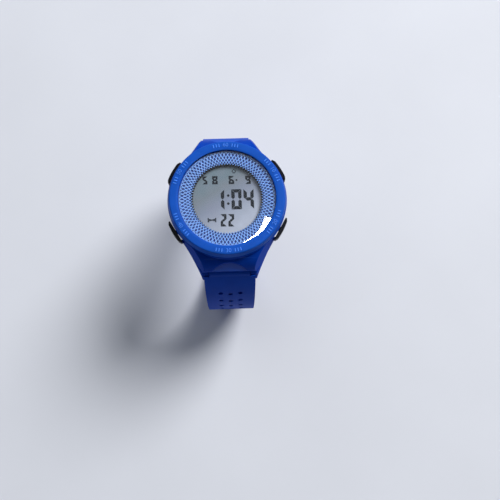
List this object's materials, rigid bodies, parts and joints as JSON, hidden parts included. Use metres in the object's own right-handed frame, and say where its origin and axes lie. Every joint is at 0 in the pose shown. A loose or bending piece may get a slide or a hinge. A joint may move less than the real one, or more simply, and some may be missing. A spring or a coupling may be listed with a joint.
{
  "type": "digital watch",
  "caption": "Round digital sports watch with a resin case, latticed dial ring, side buttons and a two-piece perforated resin strap with a pin buckle.",
  "frame": {"origin": "centre of the case back's outer face", "axes": "+Z out of the dial, +Y towards 12 o'clock, +X towards 3 o'clock"},
  "size_m": [0.0454, 0.0724, 0.0813],
  "materials": {
    "case_resin": "satin moulded resin",
    "bezel_resin": "satin moulded resin",
    "crystal": "clear and polished",
    "seal_rubber": "matte",
    "ring_plastic": "printed lattice",
    "display": "reflective liquid crystal",
    "backlight": "smooth film",
    "elastomer": "matte",
    "module_plastic": "matte",
    "board": "solder mask",
    "chip_resin": "potting resin",
    "contact_brass": "bright",
    "plated_metal": "plated",
    "cell_steel": "nickel plated",
    "back_steel": "brushed",
    "screw_steel": "turned",
    "button_plastic": "moulded, slightly glossy",
    "strap_resin": "satin moulded resin",
    "buckle_steel": "brushed"
  },
  "bodies": {
    "head": {"case_body": "case_resin", "bezel_ring": "bezel_resin", "crystal": "crystal", "crystal_gasket": "seal_rubber", "dial_ring": "ring_plastic", "lcd_panel": "display", "backlight_panel": "backlight", "zebra_connectors": "elastomer", "module_frame": "module_plastic", "circuit_board": "board", "chip_blob": "chip_resin", "switch_contacts": "contact_brass", "quartz_can": "plated_metal", "battery": "cell_steel", "battery_clip": "plated_metal", "battery_holder": "module_plastic", "buzzer_disc": "contact_brass", "buzzer_spring": "plated_metal", "case_back": "back_steel", "case_back_gasket": "seal_rubber", "case_back_screws": "screw_steel", "button_springs": "screw_steel", "button_seals": "seal_rubber", "spring_bar_long": "screw_steel", "spring_bar_short": "screw_steel"},
    "upper_right_button": {"button_upper_right": "button_plastic", "clip_upper_right": "screw_steel"},
    "lower_right_button": {"button_lower_right": "button_plastic", "clip_lower_right": "screw_steel"},
    "lower_left_button": {"button_lower_left": "button_plastic", "clip_lower_left": "screw_steel"},
    "upper_left_button": {"button_upper_left": "button_plastic", "clip_upper_left": "screw_steel"},
    "long_strap": {"strap_long": "strap_resin"},
    "short_strap": {"strap_short": "strap_resin"},
    "buckle": {"buckle_frame": "buckle_steel", "buckle_pin": "buckle_steel"},
    "tongue": {"buckle_tongue": "buckle_steel"},
    "keeper": {"strap_keeper": "strap_resin"}
  },
  "joints": [
    {"name": "long_strap_hinge", "type": "hinge", "parent": "head", "child": "long_strap", "pos_m": [0, -0.0247, -0.0031], "axis": [-1, 0, 0], "range_deg": [-2, 30]},
    {"name": "short_strap_hinge", "type": "hinge", "parent": "head", "child": "short_strap", "pos_m": [0, 0.0247, -0.0031], "axis": [1, 0, 0], "range_deg": [-2, 30]},
    {"name": "buckle_hinge", "type": "hinge", "parent": "short_strap", "child": "buckle", "pos_m": [0, 0.01592, -0.06091], "axis": [1, 0, 0], "range_deg": [-40, 40]},
    {"name": "tongue_hinge", "type": "hinge", "parent": "buckle", "child": "tongue", "pos_m": [0, 0.01592, -0.06091], "axis": [1, 0, 0], "range_deg": [0, 80]},
    {"name": "keeper_slide", "type": "hinge", "parent": "short_strap", "child": "keeper", "pos_m": [0, -0.00237, -0.03083], "axis": [1, 0, 0], "range_deg": [-8, 8]},
    {"name": "upper_right_press", "type": "slide", "parent": "head", "child": "upper_right_button", "axis": [-0.866, -0.5, 0], "range_m": [0, 0.0008], "stiffness_N_per_m": 500, "springref_m": -0.001},
    {"name": "lower_right_press", "type": "slide", "parent": "head", "child": "lower_right_button", "axis": [-0.866, 0.5, 0], "range_m": [0, 0.0008], "stiffness_N_per_m": 500, "springref_m": -0.001},
    {"name": "lower_left_press", "type": "slide", "parent": "head", "child": "lower_left_button", "axis": [0.866, 0.5, 0], "range_m": [0, 0.0008], "stiffness_N_per_m": 500, "springref_m": -0.001},
    {"name": "upper_left_press", "type": "slide", "parent": "head", "child": "upper_left_button", "axis": [0.866, -0.5, 0], "range_m": [0, 0.0008], "stiffness_N_per_m": 500, "springref_m": -0.001}
  ]
}
